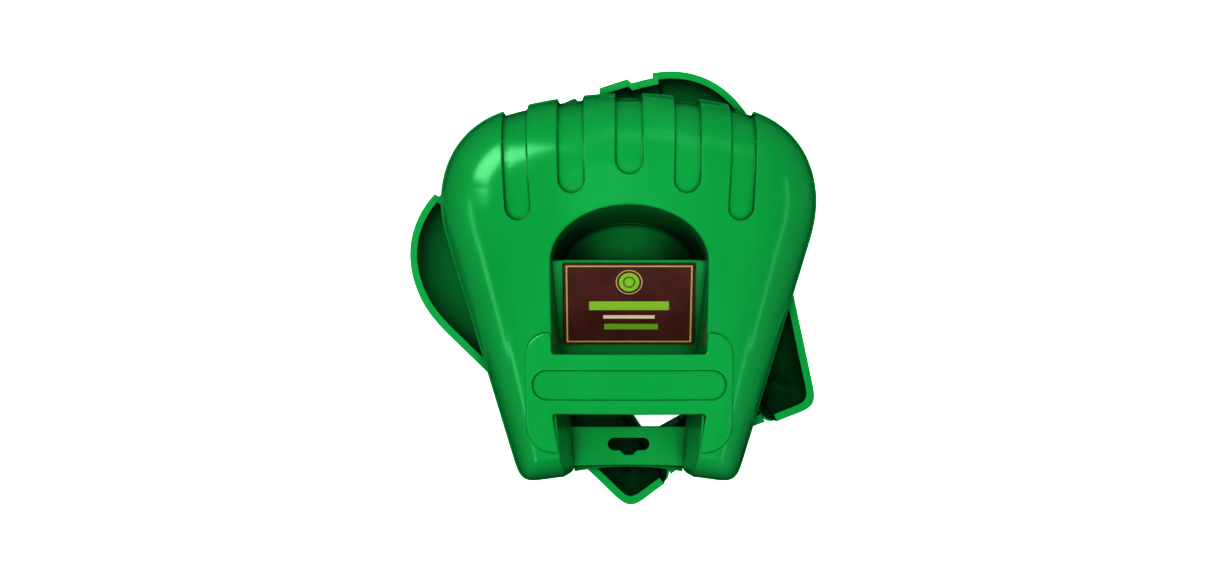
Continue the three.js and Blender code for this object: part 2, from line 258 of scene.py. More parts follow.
class Body:
    """Points with their normals, and the faces between them."""

    def __init__(self):
        self.points, self.normals, self.faces = [], [], []
        self.count = 0

    def add(self, points, normals):
        points = np.asarray(points, float)
        self.points.append(points)
        self.normals.append(unit(np.broadcast_to(normals, points.shape)))
        rows = np.arange(self.count, self.count + len(points))
        self.count += len(points)
        return rows

    def strip(self, rows, closed=False):
        """Quads between rows of equal length."""
        for lower, upper in zip(rows, rows[1:]):
            following = np.roll(lower, -1), np.roll(upper, -1)
            last = len(lower) if closed else len(lower) - 1
            for i in range(last):
                self.faces.append((lower[i], following[0][i], following[1][i], upper[i]))

    def sheet(self, loop, lines, fill, skin_point, down=False):
        """Fills the plan region inside a loop of rows, following closed or open lines."""
        closed = [len(line) > 2 and np.allclose(line[0], line[-1]) for line in lines]
        lines = [line[:-1] if shut else line for line, shut in zip(lines, closed)]
        fresh = np.concatenate([*lines, fill])
        points, normals = skin_point(fresh)
        rows = np.concatenate([loop, self.add(points, -normals if down else normals)])
        plan = self.at(rows)[:, :2]
        edges = [(i, (i + 1) % len(loop)) for i in range(len(loop))]
        start = len(loop)
        for line, shut in zip(lines, closed):
            edges += [(start + i, start + i + 1) for i in range(len(line) - 1)]
            edges += [(start + len(line) - 1, start)] if shut else []
            start += len(line)
        result = delaunay_2d_cdt([Vector(point) for point in plan], edges, [], INSIDE_ONLY, 1e-6)
        triangles, origin = result[2], result[3]
        self.faces += [tuple(rows[origin[i][0]] for i in triangle) for triangle in triangles]

    def plate(self, loop, hole):
        """Fills the flat region between a loop of rows and the hole in it."""
        rows = np.concatenate([loop, hole])
        plan = self.at(rows)[:, :2]
        edges = [(i, (i + 1) % len(loop)) for i in range(len(loop))]
        edges += [(len(loop) + i, len(loop) + (i + 1) % len(hole)) for i in range(len(hole))]
        result = delaunay_2d_cdt([Vector(point) for point in plan], edges, [], INSIDE_ONLY, 1e-6)
        triangles, origin = result[2], result[3]
        triangles = np.array([[origin[i][0] for i in triangle] for triangle in triangles])
        in_hole = is_inside(plan[triangles].mean(axis=1), plan[len(loop):], 0.0)
        self.faces += [tuple(rows[triangle]) for triangle in triangles[~in_hole]]

    def at(self, rows):
        return np.concatenate(self.points)[rows]

    def mesh(self, name):
        mesh = bpy.data.meshes.new(name)
        faces = [tuple(int(i) for i in face) for face in self.faces]
        mesh.from_pydata((np.concatenate(self.points) * METRES).tolist(), [], faces)
        made = bmesh.new()
        made.from_mesh(mesh)
        bmesh.ops.recalc_face_normals(made, faces=made.faces)
        for face in made.faces:
            face.smooth = True
        made.to_mesh(mesh)
        made.free()
        mesh.normals_split_custom_set_from_vertices(np.concatenate(self.normals).tolist())
        return mesh


# ------------------------------------------------------------------ the moulded blade

CROWN_ANGLES = np.radians([2.4, 5, 8, 11.5, 15, 19, 23, 27.5, 32, 37, 42, 47, 52])
EDGE_ANGLES = np.radians([15, 32, 50, 68, 81])
FLUTE_ROWS = np.linspace(*FLUTE_WALL, 7)
LEG_CENTRE = np.array([84.0, -150.0])         # the crown's lines fan out from these two points
SHOULDER_CENTRE = np.array([118.0, 55.0])
CHANNEL_Y = np.concatenate([np.arange(-160, -45, 5.0), np.arange(-45, ARCH_BASE, 7.5)])
ARCH_DEGREES = np.linspace(0, 180, 61)


def tip_lines(widen):
    """Where the lines over the finger tips start, and the flute that each one runs beside."""
    lines = []
    for flute_x, _, half_width in FLUTES:
        reach = half_width + widen
        for side in (-1, 1):
            lines += [(flute_x + side * (reach - row), flute_x) for row in FLUTE_ROWS]
        lines += [(flute_x + shift * reach, flute_x) for shift in (-0.55, 0, 0.55)]
    for (left, _, left_half), (right, _, right_half) in zip(FLUTES, FLUTES[1:]):
        low, high = left + left_half + widen + 1.2, right - right_half - widen - 1.2
        lines += [(x, x) for x in np.linspace(low, high, 8)[1:-1]]
    return np.array(sorted(lines, key=lambda line: -line[0]))


def fan_out(centres, degrees):
    """Base points, and the directions in which lines leave them."""
    angles = np.radians(degrees)
    directions = np.column_stack([np.cos(angles), np.sin(angles)])
    return np.broadcast_to(centres, directions.shape), directions


def crown_lines(heel_x, widen):
    """Base points and outward directions of the lines that climb the crown.

    They run from the right leg's channel corner, round the right side and over the finger tips;
    the left side mirrors the right.
    """
    leg_x = np.linspace(heel_x, LEG_CENTRE[0], 8, endpoint=False)
    leg = fan_out(np.column_stack([leg_x, np.full(8, LEG_CENTRE[1])]), np.full(8, -90.0))
    corner = fan_out(LEG_CENTRE, np.linspace(-90, -17, 34))
    share = np.linspace(0, 1, 56)[1:, None]
    side = fan_out(LEG_CENTRE + (SHOULDER_CENTRE - LEG_CENTRE) * share, -17 + 12 * share[:, 0])
    shoulder = fan_out(SHOULDER_CENTRE, np.linspace(-5, 85.5, 62)[1:])
    bases, directions = (np.concatenate(parts) for parts in zip(leg, corner, side, shoulder))
    lines = tip_lines(widen)
    spread = FLUTE_FAN * lines[:, 1]
    tip_bases = np.column_stack([lines[:, 0] + spread * (TIP_CROWN_Y - FLUTE_FAN_Y),
                                 np.full(len(lines), TIP_CROWN_Y)])
    tip_directions = unit(np.column_stack([spread, np.ones(len(lines))]))
    mirror = np.array([-1.0, 1.0])
    return (np.concatenate([bases, tip_bases, bases[::-1] * mirror]),
            np.concatenate([directions, tip_directions, directions[::-1] * mirror]))


def solve(skin, bases, directions, crown_angle):
    """The plan points on the lines where the skin's crown has the given angle, 0 at the rim."""
    low, high = np.zeros(len(bases)), np.full(len(bases), 130.0)
    for _ in range(36):
        middle = (low + high) / 2
        points = bases + directions * middle[:, None]
        outside = skin.level(points[:, 0], points[:, 1]) > math.cos(crown_angle)
        low, high = np.where(outside, low, middle), np.where(outside, middle, high)
    return bases + directions * low[:, None]


def channel_half_width(y):
    """From the middle to the channel's upper edge."""
    narrowing = CHANNEL_HALF_WIDTH - CHANNEL_HEEL_HALF_WIDTH
    return CHANNEL_HALF_WIDTH - narrowing * (np.minimum(y - ARCH_BASE, 0) / (HEEL_Y - ARCH_BASE)) ** 2


def channel_side(y):
    """The right-hand channel edge at the given y: points, and directions out of the channel."""
    edge = np.column_stack([channel_half_width(y), y])
    slope = (channel_half_width(y + 0.1) - channel_half_width(y - 0.1)) / 0.2
    return edge, unit(np.column_stack([np.ones(len(y)), -slope]))


def channel_arch(degrees, grow=0.0, draft=0.0):
    """The arch that ends the channel; draft goes from 0 at the top to 1 at the floor."""
    foot_width = CHANNEL_HALF_WIDTH - (BACK_HEIGHT - CHANNEL_FOOT) * CHANNEL_DRAFT
    across = CHANNEL_HALF_WIDTH + (foot_width - CHANNEL_HALF_WIDTH) * draft
    along = ARCH_TOP - ARCH_BASE - ARCH_DRAFT * draft
    angle = np.radians(degrees)
    out = unit(np.column_stack([np.cos(angle) / across, np.sin(angle) / along]))
    edge = np.column_stack([across * np.cos(angle), ARCH_BASE + along * np.sin(angle)])
    return edge + out * grow, out


def channel_clear(x, y, margin):
    """True where a plan point is out of the channel by at least the margin."""
    beside = np.abs(x) > channel_half_width(y) + margin
    across, along = CHANNEL_HALF_WIDTH + margin, ARCH_TOP - ARCH_BASE + margin
    beyond = (x / across) ** 2 + ((y - ARCH_BASE) / along) ** 2 > 1
    return np.where(y < ARCH_BASE, beside, beyond)


def channel_stations():
    """Points and outward directions along the channel's edge, from the right leg to the left."""
    edge, out = channel_side(CHANNEL_Y)
    arch_edge, arch_out = channel_arch(ARCH_DEGREES)
    mirror = np.array([-1.0, 1.0])
    return (np.concatenate([edge, arch_edge, edge[::-1] * mirror]),
            np.concatenate([out, arch_out, out[::-1] * mirror]))


def blade_side(body, offset, widen, margin, down):
    """One face of the blade. Returns its crown rows and the row along the channel."""
    skin = Skin(offset, fluted(widen))
    bases, directions = crown_lines(CHANNEL_HEEL_HALF_WIDTH + margin, widen)
    rows = []
    for angle in CROWN_ANGLES:
        points, normals = on_skin(skin, solve(skin, bases, directions, angle))
        rows.append(body.add(points, -normals if down else normals))
    body.strip(rows)
    edges, outs = channel_stations()
    points, normals = on_skin(skin, edges + outs * margin)
    middle = body.add(points, -normals if down else normals)
    top = math.cos(CROWN_ANGLES[-1] + 0.035)

    def clear(points, room):
        x, y = points[:, 0], points[:, 1]
        return points[(skin.level(x, y) < top) & channel_clear(x, y, margin + room)]

    lines = [clear(line, 1.5) for line in flute_lines(widen)]
    fill = clear(fill_points(widen), 2.4)
    body.sheet(np.concatenate([rows[-1], middle[::-1]]), lines, fill,
               lambda plan: on_skin(skin, plan), down)
    channel = [*(row[0] for row in rows), *middle, *(row[-1] for row in rows[::-1])]
    return rows, np.array(channel)


def on_skin(skin, plan):
    """The skin's points and normals over plan points."""
    x, y = plan[:, 0], plan[:, 1]
    return lift(plan, skin.height(x, y)), skin.normal(x, y)


def flute_lines(widen):
    """The U-shaped lines that follow each flute's wall, in from the last crown row."""
    lines = []
    for flute_x, flute_y, half_width in FLUTES:
        for row in FLUTE_ROWS:
            reach = half_width + widen - row
            y = np.arange(flute_y + 3, TIP_Y, 4.0)
            angle = np.linspace(math.pi, 2 * math.pi, 19)
            left = np.column_stack([fan(flute_x, y) - reach, y])[::-1]
            right = np.column_stack([fan(flute_x, y) + reach, y])
            end_y = flute_y + reach * np.sin(angle)
            end = np.column_stack([fan(flute_x, end_y) + reach * np.cos(angle), end_y])
            lines.append(np.concatenate([left, end, right]))
    return lines


def fill_points(widen):
    """An even field of points over the back, kept off the flutes' walls."""
    pitch = 3.6
    columns = np.arange(-180, 181, pitch)
    rows = np.arange(-180, 185, pitch * math.sqrt(3) / 2)
    x, y = np.meshgrid(columns, rows)
    x = x + (np.arange(len(rows)) % 2)[:, None] * pitch / 2
    points = np.column_stack([x.ravel(), y.ravel()])
    keep = np.ones(len(points), bool)
    for flute_x, flute_y, half_width in FLUTES:
        across = points[:, 0] - fan(flute_x, points[:, 1])
        beyond = np.minimum(points[:, 1] - flute_y, 0)
        from_wall = half_width + widen - np.hypot(across, beyond)
        keep &= (from_wall < FLUTE_WALL[0] - 1.5) | (from_wall > FLUTE_WALL[1] + 1.5)
    return points[keep]


def rim_bead(body, outer_rows, inner_rows):
    """The bead and the flat land between the outer and the inner face, along the rim."""
    lines = crown_lines(CHANNEL_HEEL_HALF_WIDTH + CHANNEL_EDGE, 0)
    bead = solve(Skin(BEAD, fluted(0)), *lines, 0.0)
    outer = solve(Skin(0, fluted(0)), *lines, 0.0)
    inner = body.at(inner_rows[0])[:, :2]
    outward = unit(lift(bead - outer, 0.0))
    up = np.array([0.0, 0.0, 1.0])
    rows = [outer_rows[0]]
    profile = [                          # share of the bead, height, and the normal's out and up parts
        (0.08, 3.2, 0.5, 0.8), (0.2, 3.0, 0.1, 1), (0.76, 3.0, 0, 1), (0.93, 2.8, 0.7, 0.7),
        (1.0, 2.3, 1, 0), (1.0, 0.6, 1, 0), (0.95, 0.15, 0.7, -0.7), (0.84, 0.0, 0, -1),
    ]
    for share, z, out_part, up_part in profile:
        points = lift(outer + (bead - outer) * share, z)
        rows.append(body.add(points, outward * out_part + up * up_part))
    inner_profile = [                    # the same inside, as a share of the inner bead
        (-0.8, 0.0, 0, -1), (-0.95, 0.15, -0.7, -0.7), (-1.0, 0.6, -1, 0), (-1.0, 2.2, -1, 0),
        (-0.9, 2.6, -0.7, 0.7), (-0.7, 2.8, 0, 1), (-0.1, 3.0, -0.2, 1),
    ]
    for share, z, out_part, up_part in inner_profile:
        points = lift(inner + outward[:, :2] * share * INNER_BEAD, z)
        rows.append(body.add(points, outward * out_part + up * up_part))
    rows.append(inner_rows[0])
    body.strip(rows)
    return rows


def channel_wall(body, outer_channel, inner_channel, crown_rows):
    """The channel's rounded edge, its drafted wall, the wall's foot and its back."""
    top, back_top = body.at(outer_channel), body.at(inner_channel)
    skin_normal = np.concatenate(body.normals)[outer_channel]
    out = np.zeros_like(top)
    out[crown_rows:-crown_rows, :2] = channel_stations()[1]
    out[:crown_rows, 0], out[-crown_rows:, 0] = 1.0, -1.0
    edge = top - out * CHANNEL_EDGE
    foot_z = CHANNEL_FOOT * smoothstep(top[:, 1], -176, -160)
    radius_z = np.minimum(CHANNEL_EDGE, (top[:, 2] - foot_z) * 0.45)
    rows = [outer_channel]
    for angle in EDGE_ANGLES:
        points = edge + out * CHANNEL_EDGE * (1 - math.sin(angle))
        points[:, 2] = top[:, 2] - radius_z * (1 - math.cos(angle))
        rows.append(body.add(points, skin_normal * math.cos(angle) - out * math.sin(angle)))
    wall_top = body.at(rows[-1])
    drop = np.maximum(wall_top[:, 2] - foot_z, 0)
    foot = edge - out * drop[:, None] * CHANNEL_DRAFT
    arch = slice(crown_rows + len(CHANNEL_Y), crown_rows + len(CHANNEL_Y) + len(ARCH_DEGREES))
    foot[arch, :2] = channel_arch(ARCH_DEGREES, 0.0, 1.0)[0]
    foot[:, 2] = foot_z
    facing = unit(np.cross(np.gradient(wall_top, axis=0), foot - wall_top))
    facing *= -np.sign((facing * out).sum(axis=1, keepdims=True))
    for share in (0.04, 0.3, 0.6, 0.96):
        rows.append(body.add(wall_top + (foot - wall_top) * share, facing))
    down = np.array([0.0, 0.0, -1.0])
    rows.append(body.add(foot + out * 0.5, down - out * 0.3))
    rows.append(body.add(foot + out * WALL * 0.8, down + out * 0.3))
    back_foot = foot + out * WALL
    for share in (0.04, 0.5):
        rows.append(body.add(back_foot + (back_top - back_foot) * share, -facing))
    corner = back_top - out * 1.4 + down * np.minimum(1.5, drop * 0.3)[:, None]
    rows.append(body.add(corner, out))
    rows.append(inner_channel)
    body.strip(rows)
    return rows


def blade():
    """The blade with its flutes, rim bead and channel walls, as one closed body."""
    body = Body()
    outer_rows, outer_channel = blade_side(body, 0, 0, CHANNEL_EDGE, False)
    inner_rows, inner_channel = blade_side(body, -WALL, WALL, WALL + 1.4, True)
    bead_rows = rim_bead(body, outer_rows, inner_rows)
    wall_rows = channel_wall(body, outer_channel, inner_channel, len(CROWN_ANGLES))
    for end in (0, -1):
        rim_chain = [row[end] for row in bead_rows]
        wall_chain = [row[end] for row in wall_rows[1:-1]]
        body.faces.append(tuple(rim_chain + wall_chain[::-1]))
    return body


# ------------------------------------------------------------------ the other pieces of a scoop

def wall_half_width(y, z):
    """Half width between the channel's walls at height z."""
    return channel_half_width(y) - (CHANNEL_TOP - z) * CHANNEL_DRAFT


def rounded(corners, steps=6):
    """A closed outline through corners (x, y, radius), each rounded by an arc."""
    points = []
    places = [np.array(corner[:2]) for corner in corners]
    for i, (_, _, radius) in enumerate(corners):
        here, before, after = places[i], places[i - 1], places[(i + 1) % len(places)]
        into, onward = unit(here - before), unit(after - here)
        turn = math.atan2(into[0] * onward[1] - into[1] * onward[0], into @ onward)
        reach = radius * math.tan(abs(turn) / 2)
        side = math.copysign(1, turn) * np.array([-into[1], into[0]])
        centre = here - into * reach + side * radius
        for step in range(steps + 1):
            angle = turn * step / steps
            arm = -side * radius
            points.append(centre + [arm[0] * math.cos(angle) - arm[1] * math.sin(angle),
                                    arm[0] * math.sin(angle) + arm[1] * math.cos(angle)])
    return np.array(points)


def subdivided(points, pitch):
    """The same closed outline with no side longer than the pitch."""
    result = []
    for point, after in zip(points, np.roll(points, -1, axis=0)):
        count = max(1, math.ceil(np.linalg.norm(after - point) / pitch))
        result += [point + (after - point) * i / count for i in range(count)]
    return np.array(result)


def outward_of(points):
    """Outward directions at the points of a counter-clockwise outline, for moving it evenly."""
    into = unit(points - np.roll(points, 1, axis=0))
    onward = unit(np.roll(points, -1, axis=0) - points)
    normals = np.column_stack([(into + onward)[:, 1], -(into + onward)[:, 0]])
    normals = unit(normals)
    cosine = (normals * np.column_stack([into[:, 1], -into[:, 0]])).sum(axis=1, keepdims=True)
    return normals / np.maximum(cosine, 0.5)


def pocket():
    """The finger pocket's floor, with a fillet up to the wall."""
    body = Body()
    arch, arch_out = channel_arch(ARCH_DEGREES, 0.0, 1.0)
    side = wall_half_width(0, CHANNEL_FOOT)
    side_y = np.array([12.0, 17.0])
    right = np.column_stack([np.full(2, side), side_y])
    left = right[::-1] * [-1, 1]
    outline = np.concatenate([right, arch, left])
    out = np.concatenate([[[1, 0], [1, 0]], arch_out, [[-1, 0], [-1, 0]]])
    middle = np.array([0.0, 30.0])
    outward = lift(out, 0.0)
    up = np.array([0.0, 0.0, 1.0])
    rows = [body.add(lift(outline + out * 0.9, CHANNEL_FOOT), -up),
            body.add(lift(outline + out * 2.2, FLOOR_Z + FLOOR_FILLET + 1.5), up)]
    for degrees in (8, 26, 44, 62, 80, 90):
        angle = math.radians(degrees)
        inset = FLOOR_FILLET * (1 - math.cos(angle)) - 1.5 * (1 - degrees / 90)
        z = FLOOR_Z + FLOOR_FILLET * (1 - math.sin(angle))
        facing = up * math.sin(angle) - outward * math.cos(angle)
        rows.append(body.add(lift(outline - out * inset, z), facing))
    inner = outline - out * FLOOR_FILLET
    for share in (0.7, 0.35, 0.02):
        rows.append(body.add(lift(middle + (inner - middle) * share, FLOOR_Z), up))
    for share in (0.02, 0.5, 0.98):
        rows.append(body.add(lift(middle + (outline - middle) * share, CHANNEL_FOOT), -up))
    rows.append(rows[0])
    body.strip(rows, closed=True)
    return body


def palm_height(y):
    """Height of the palm plate's face."""
    return PALM_HEEL_Z + (y - PALM_HEEL_Y) * math.tan(PALM_SLOPE)


def palm_plate():
    """The sloped palm plate with its rolled grip edge and its front wall, swept between the walls."""
    body = Body()
    section, facing = [], []

    def run(y, z, degrees):
        section.append((y, z))
        facing.append((math.cos(math.radians(degrees)), math.sin(math.radians(degrees))))

    slope = math.degrees(PALM_SLOPE)
    below = WALL / math.cos(PALM_SLOPE)
    fold_y = PALM_GRIP_Y - WALL
    edge_z = palm_height(PALM_GRIP_Y - GRIP_RADIUS) - GRIP_RADIUS / math.cos(PALM_SLOPE) + GRIP_RADIUS
    middle_y, middle_z = PALM_GRIP_Y - GRIP_RADIUS, edge_z - GRIP_RADIUS
    run(PALM_GRIP_Y, FLOOR_Z - 1, 0)
    run(PALM_GRIP_Y, middle_z - 8, 0)
    for degrees in np.linspace(0, 90 + slope, 11):
        angle = math.radians(degrees)
        run(middle_y + GRIP_RADIUS * math.cos(angle), middle_z + GRIP_RADIUS * math.sin(angle), degrees)
    for y in (18.0, 0.0, -20.0, -40.0, PALM_HEEL_Y + PALM_NOSE):
        run(y, palm_height(y), 90 + slope)
    for degrees in (110, 150, 190, 230):
        angle = math.radians(degrees)
        y = PALM_HEEL_Y + PALM_NOSE * (1 + math.cos(angle))
        run(y, PALM_HEEL_Z - 0.8 + 1.3 * math.sin(angle), degrees)
    for y in (PALM_HEEL_Y + 3, -30.0, 0.0, fold_y):
        run(y, palm_height(y) - below, 270 + slope)
    run(fold_y, FLOOR_Z - 1, 180)
    rows = []
    shares = np.linspace(-1, 1, 13)
    for (y, z), (out, up) in zip(section, facing):
        half = wall_half_width(y, z) + INTO_WALL + 0.1
        points = np.column_stack([shares * half, np.full(13, y), np.full(13, z)])
        rows.append(body.add(points, [0.0, out, up]))
    body.strip([*rows, rows[0]])
    body.faces.append(tuple(row[0] for row in rows))
    body.faces.append(tuple(row[-1] for row in rows))
    return body


def brace():
    """The arm brace: a raised saddle with rounded edges and an oval recess."""
    body = Body()
    left = [(-x, y, radius) for x, y, radius in BRACE_CORNERS[::-1]]
    outline = subdivided(rounded(BRACE_CORNERS + left), 3.0)
    out = outward_of(outline)
    outward = lift(unit(out), 0.0)
    top, under = Skin(BRACE_RAISE, recess_depth), Skin(0.3)
    rows = []
    for degrees in (0, 22, 45, 68, 90):
        angle = math.radians(degrees)
        plan = outline - out * BRACE_EDGE * (1 - math.sin(angle))
        skin = Skin(BRACE_RAISE - BRACE_EDGE * (1 - math.cos(angle)))
        points, normals = on_skin(skin, plan)
        rows.append(body.add(points, normals * math.cos(angle) + outward * math.sin(angle)))
    for offset, inset in ((1.0, 0.0), (0.5, 0.05), (0.3, 0.3)):
        points, normals = on_skin(Skin(offset), outline - out * inset)
        rows.append(body.add(points, outward if offset > 0.4 else -normals))
    body.strip(rows, closed=True)
    lines = []
    straight = RECESS_HALF_WIDTH - RECESS_HALF_HEIGHT
    for row in np.linspace(*RECESS_WALL, 6):
        reach = RECESS_HALF_HEIGHT - row
        end_x, low_y, high_y = straight + reach, RECESS_Y - reach, RECESS_Y + reach
        corners = [(end_x, low_y, reach), (end_x, high_y, reach),
                   (-end_x, high_y, reach), (-end_x, low_y, reach)]
        oval = subdivided(rounded(corners, 12), 3.0)
        lines.append(np.concatenate([oval, oval[:1]]))
    x, y = np.meshgrid(np.arange(-93, 94, 3.0), np.arange(-149, -42, 3.0))
    points = np.column_stack([x.ravel(), y.ravel()])
    beyond = np.maximum(np.abs(points[:, 0]) - straight, 0)
    from_wall = RECESS_HALF_HEIGHT - np.hypot(beyond, points[:, 1] - RECESS_Y)
    near = np.abs(from_wall) < 2.2
    fill = points[~near & is_inside(points, outline, 3.6)]
    body.sheet(rows[0], lines, fill, lambda plan: on_skin(top, plan))
    fill = points[is_inside(points, outline, 1.6)]
    body.sheet(rows[-1], [], fill, lambda plan: on_skin(under, plan), True)
    return body


def heel_tab():
    """The heel tab with its hanger slot, the step down to the rim and the land along it."""
    body = Body()
    across = np.linspace(-1, 1, 51)
    bow = 1 - across ** 2
    lower_x = across * (wall_half_width(TAB_LOWER_Y, TAB_TOP) + INTO_WALL)
    upper_x = -across * (wall_half_width(TAB_UPPER_Y, TAB_TOP) + INTO_WALL)
    lower = np.column_stack([lower_x, TAB_LOWER_Y + TAB_BOW * bow])
    upper = np.column_stack([upper_x, np.full(len(across), TAB_UPPER_Y)])
    outline = np.concatenate([lower, upper])
    below = len(lower)
    up = np.array([0.0, 0.0, 1.0])
    rows = []
    for step, (out_y, z, normal_out, normal_up) in enumerate(TAB_STEP):
        plan = outline.copy()
        height = np.full(len(plan), z)
        plan[:below, 1] -= out_y - LAND_BOW * bow * max(0.0, out_y - TAB_EDGE)
        if step < 3:                     # the upper edge is rounded too, and has no step below it
            plan[below:, 1] += min(0.0, out_y)
        else:
            height[below:] = max(z, TAB_TOP - WALL)
        normals = np.tile([0.0, -normal_out, normal_up], (len(plan), 1))
        normals[below:, 1] *= -1
        rows.append(body.add(lift(plan, height), normals))
    body.strip(rows, closed=True)
    slot = rounded(SLOT_CORNERS + [(-sx, sy, r) for sx, sy, r in SLOT_CORNERS[::-1]])
    slot_out = outward_of(slot)
    edges = []
    for grow, z, slope in ((0.9, TAB_TOP, 0), (0.3, TAB_TOP - 0.2, 0.7), (0, TAB_TOP - 0.8, 1),
                           (0, TAB_TOP - WALL + 0.4, 1), (0.4, TAB_TOP - WALL, 0.5)):
        normal = -lift(unit(slot_out), 0.0) * slope + up * (1 - slope)
        edges.append(body.add(lift(slot + slot_out * grow, z), normal))
    body.strip(edges, closed=True)
    body.plate(rows[0], edges[0])
    body.plate(rows[-1], edges[-1])
    return body


def card():
    """The printed card in its own plane, with softly cut edges; z = 0 is its underside."""
    body = Body()
    x, y = CARD_WIDTH / 2, CARD_LENGTH / 2
    outline = subdivided(rounded([(x, -y, 1.5), (x, y, 1.5), (-x, y, 1.5), (-x, -y, 1.5)]), 6.0)
    out = outward_of(outline)
    up = np.array([0.0, 0.0, 1.0])
    rows = []
    for inset, z, tilt in ((0.25, CARD_THICKNESS, 0), (0.06, CARD_THICKNESS - 0.08, 0.6),
                           (0.0, CARD_THICKNESS - 0.2, 1), (0.0, 0.12, 1), (0.12, 0.0, 0.6)):
        turned = up * (1 - tilt) * (1 if z > 0.2 else -1)
        rows.append(body.add(lift(outline - out * inset, z), turned + lift(unit(out), 0.0) * tilt))
    body.strip(rows, closed=True)
    grid_x, grid_y = np.meshgrid(np.arange(-55, 56, 10.0), np.arange(-35, 36, 10.0))
    fill = np.column_stack([grid_x.ravel(), grid_y.ravel()])
    body.sheet(rows[0], [], fill, lambda plan: (lift(plan, CARD_THICKNESS), lift(0 * plan, 1.0)))
    body.sheet(rows[-1], [], fill + 2.0, lambda plan: (lift(plan, 0.0), lift(0 * plan, 1.0)), True)
    return body


# ------------------------------------------------------------------ materials

def nodes_of(name):
    material = bpy.data.materials.new(name)
    material.use_nodes = True
    tree = material.node_tree
    return material, tree.nodes, tree.links, tree.nodes["Principled BSDF"]


def noise(nodes, links, scale, detail, stretch=(1, 1, 1)):
    """Noise over the piece's own coordinates, in metres. Returns its value output."""
    place = nodes.new("ShaderNodeTexCoord")
    spread = nodes.new("ShaderNodeMapping")
    spread.inputs["Scale"].default_value = stretch
    texture = nodes.new("ShaderNodeTexNoise")
    texture.inputs["Scale"].default_value = scale
    texture.inputs["Detail"].default_value = detail
    links.new(place.outputs["Object"], spread.inputs["Vector"])
    links.new(spread.outputs["Vector"], texture.inputs["Vector"])
    return texture.outputs["Fac"]


def ramp(nodes, links, value, stops):
    """A colour ramp through (position, colour) stops."""
    node = nodes.new("ShaderNodeValToRGB")
    elements = node.color_ramp.elements
    while len(elements) < len(stops):
        elements.new(0.5)
    for element, (position, color) in zip(elements, stops):
        element.position = position
        element.color = (*color, 1.0)
    links.new(value, node.inputs["Fac"])
    return node.outputs["Color"]


def span(nodes, links, value, low, high, to_low, to_high):
    """The value moved from one range to another, and kept within it."""
    node = nodes.new("ShaderNodeMapRange")
    for name, number in (("From Min", low), ("From Max", high), ("To Min", to_low), ("To Max", to_high)):
        node.inputs[name].default_value = number
    links.new(value, node.inputs["Value"])
    return node.outputs["Result"]


def open_sky(nodes, links, reach, low, high, darkest):
    """Factor of the painted shade: 1 where the sky is open within reach, falling to darkest where it is
    closed.
    """
    sky = nodes.new("ShaderNodeAmbientOcclusion")
    sky.inputs["Distance"].default_value = reach
    sky.samples = 12
    return span(nodes, links, sky.outputs["AO"], low, high, darkest, 1)


def hollows(nodes, links):
    """Mask of the painted shade: 1 on open faces, falling towards 0 in corners and, more gently, in deep
    hollows.
    """
    both = nodes.new("ShaderNodeMath")
    both.operation = "MULTIPLY"
    links.new(open_sky(nodes, links, *CORNER_SKY), both.inputs[0])
    links.new(open_sky(nodes, links, *HOLLOW_SKY), both.inputs[1])
    return both.outputs["Value"]


def plastic(name, shade, gloss):
    """Self-coloured moulded plastic: faint flow marks in the colour, painted shade in corners and
    hollows, a per-piece painted lightening or darkening, uneven gloss, a fine grain.
    """
    material, nodes, links, shader = nodes_of(name)
    flow = noise(nodes, links, 9, 5, (1, 0.35, 1))
    # shade lightens or darkens this piece's plastic: painted light or shade for how light falls on it.
    deep = tuple(shade * part for part in PLASTIC_DEEP)
    light = tuple(shade * part for part in PLASTIC_LIGHT)
    # Painted shade: the colour is mixed towards a near-black green where corners and deep hollows close
    # off the sky.
    color = nodes.new("ShaderNodeMix")
    color.data_type = "RGBA"
    color.inputs["A"].default_value = (*PAINTED_HOLLOW_SHADE, 1.0)
    links.new(hollows(nodes, links), color.inputs["Factor"])
    links.new(ramp(nodes, links, flow, [(0.3, deep), (0.7, light)]), color.inputs["B"])
    links.new(color.outputs["Result"], shader.inputs["Base Color"])
    scuffs = noise(nodes, links, 25, 5)
    links.new(span(nodes, links, scuffs, 0.35, 0.75, gloss, gloss + 0.06), shader.inputs["Roughness"])
    shader.inputs["IOR"].default_value = 1.5
    grain = nodes.new("ShaderNodeBump")
    grain.inputs["Strength"].default_value = 0.06
    grain.inputs["Distance"].default_value = 0.0002
    links.new(noise(nodes, links, 70, 2), grain.inputs["Height"])
    links.new(grain.outputs["Normal"], shader.inputs["Normal"])
    return material


